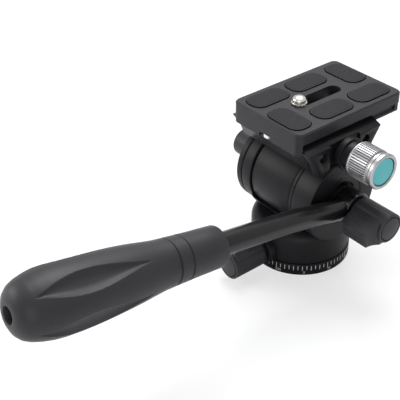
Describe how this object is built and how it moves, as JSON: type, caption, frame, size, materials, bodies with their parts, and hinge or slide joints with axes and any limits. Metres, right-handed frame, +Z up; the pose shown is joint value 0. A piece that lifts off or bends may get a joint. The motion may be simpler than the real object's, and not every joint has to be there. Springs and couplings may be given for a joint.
{
  "type": "fluid video head",
  "caption": "Compact fluid video head: round pan base with a degree scale, tilting barrel with a screw clamp and a sliding quick release plate, lever locks and a pan handle with a grip.",
  "frame": {"origin": "middle of the base's bottom face, on the pan axis, where the tripod's platform meets it", "axes": "+Z up along the pan axis, +X toward the handle and the clamp knob along the tilt axis, +Y toward the lens"},
  "size_m": [0.1134, 0.2397, 0.0973],
  "materials": {
    "black_paint": "black powder coat on cast aluminium, satin",
    "dark_anodised": "dark grey anodised, fine satin",
    "gloss_black": "gloss black paint on a drawn aluminium tube",
    "black_plastic": "satin moulded plastic",
    "damper_plastic": "moulded damper core",
    "rubber": "matt ribbed rubber",
    "grip_rubber": "matt fluted rubber",
    "silver_aluminium": "turned and polished",
    "teal_disc": "teal anodised disc",
    "steel": "bright turned steel",
    "bronze": "sintered bearing bronze",
    "brass": "turned brass bush",
    "nylon": "natural nylon"
  },
  "bodies": {
    "base": {"base_plate": "black_paint", "pan_scale_ring": "black_paint", "thread_bush": "brass"},
    "pan_body": {"pan_housing": "black_paint", "left_end_cap": "black_paint", "pan_retaining_ring": "steel", "pan_bearing": "bronze", "pan_drag_disc": "nylon", "tilt_bearing_left": "bronze", "tilt_bearing_right": "bronze", "tilt_damper_core": "damper_plastic"},
    "pan_lock": {"pan_lock_knob": "black_plastic", "pan_lock_cap": "black_plastic", "pan_lock_stud": "steel"},
    "pan_brake": {"pan_brake_shoe": "nylon"},
    "tilt_lock": {"tilt_lock_knob": "black_plastic", "tilt_lock_cap": "black_plastic", "tilt_lock_stud": "steel"},
    "tilt_brake": {"tilt_brake_pad": "nylon"},
    "tilt_body": {"tilt_barrel": "black_paint", "tilt_axle": "steel", "handle_rosette": "steel", "clamp_base": "black_paint", "platform_screw_front": "steel", "platform_screw_rear": "steel", "guide_pin_front": "steel", "guide_pin_rear": "steel", "jaw_spring_front": "steel", "jaw_spring_rear": "steel"},
    "jaw": {"clamp_jaw": "black_paint", "clamp_collar": "black_paint"},
    "clamp_knob_body": {"clamp_knob": "silver_aluminium", "clamp_knob_disc": "teal_disc", "clamp_screw": "steel"},
    "plate": {"qr_plate": "dark_anodised", "stop_screw_front": "steel", "stop_screw_rear": "steel", "pad_rear_left": "rubber", "pad_middle_left": "rubber", "pad_front_left": "rubber", "pad_front_right": "rubber", "pad_middle_right": "rubber", "pad_rear_right": "rubber"},
    "screw_carrier": {"camera_screw_washer": "steel"},
    "camera_screw_body": {"camera_screw": "steel"},
    "handle": {"handle_eye": "gloss_black", "handle_tube": "gloss_black", "handle_grip": "grip_rubber"},
    "handle_lock": {"handle_lock_knob": "black_plastic", "handle_lock_cap": "black_plastic", "handle_lock_stud": "steel"}
  },
  "joints": [
    {"name": "pan", "type": "hinge", "parent": "base", "child": "pan_body", "pos_m": [0, 0, 0], "axis": [0, 0, 1], "continuous": true},
    {"name": "pan_lock_turn", "type": "hinge", "parent": "pan_body", "child": "pan_lock", "pos_m": [0, -0.0313, 0.0112], "axis": [0, -1, 0], "range_deg": [-90, 0]},
    {"name": "pan_brake_slide", "type": "slide", "parent": "pan_body", "child": "pan_brake", "axis": [0, -1, 0], "range_m": [-0.0003, 0.00001]},
    {"name": "tilt", "type": "hinge", "parent": "pan_body", "child": "tilt_body", "pos_m": [0, 0, 0.0465], "axis": [1, 0, 0], "range_deg": [-75, 60]},
    {"name": "tilt_lock_turn", "type": "hinge", "parent": "pan_body", "child": "tilt_lock", "pos_m": [-0.028, 0, 0.0465], "axis": [-1, 0, 0], "range_deg": [-90, 0]},
    {"name": "tilt_brake_slide", "type": "slide", "parent": "pan_body", "child": "tilt_brake", "axis": [-1, 0, 0], "range_m": [-0.00035, 0.00001]},
    {"name": "jaw_slide", "type": "slide", "parent": "tilt_body", "child": "jaw", "axis": [1, 0, 0], "range_m": [0, 0.0035], "deforming": ["jaw_spring_front", "jaw_spring_rear"]},
    {"name": "clamp_knob_turn", "type": "hinge", "parent": "jaw", "child": "clamp_knob_body", "pos_m": [0.038, 0, 0.076], "axis": [1, 0, 0], "range_deg": [0, 1260]},
    {"name": "plate_slide", "type": "slide", "parent": "tilt_body", "child": "plate", "axis": [0, 1, 0], "range_m": [-0.0167, 0.0001]},
    {"name": "screw_travel", "type": "slide", "parent": "plate", "child": "screw_carrier", "axis": [0, 1, 0], "range_m": [0, 0.0246]},
    {"name": "camera_screw_turn", "type": "hinge", "parent": "screw_carrier", "child": "camera_screw_body", "pos_m": [0, -0.0054, 0.09], "axis": [0, 0, 1], "continuous": true},
    {"name": "handle_angle", "type": "hinge", "parent": "tilt_body", "child": "handle", "pos_m": [0.0356, 0, 0.0465], "axis": [1, 0, 0], "range_deg": [-38, 200]},
    {"name": "handle_lock_turn", "type": "hinge", "parent": "tilt_body", "child": "handle_lock", "pos_m": [0.0416, 0, 0.0465], "axis": [1, 0, 0], "range_deg": [0, 90]}
  ],
  "couplings": [
    {"joint": "pan_brake_slide", "follows": "pan_lock_turn", "m_per_rad": 0.00015915},
    {"joint": "tilt_brake_slide", "follows": "tilt_lock_turn", "m_per_rad": 0.00019894},
    {"joint": "jaw_slide", "follows": "clamp_knob_turn", "m_per_rad": 0.00015915}
  ]
}
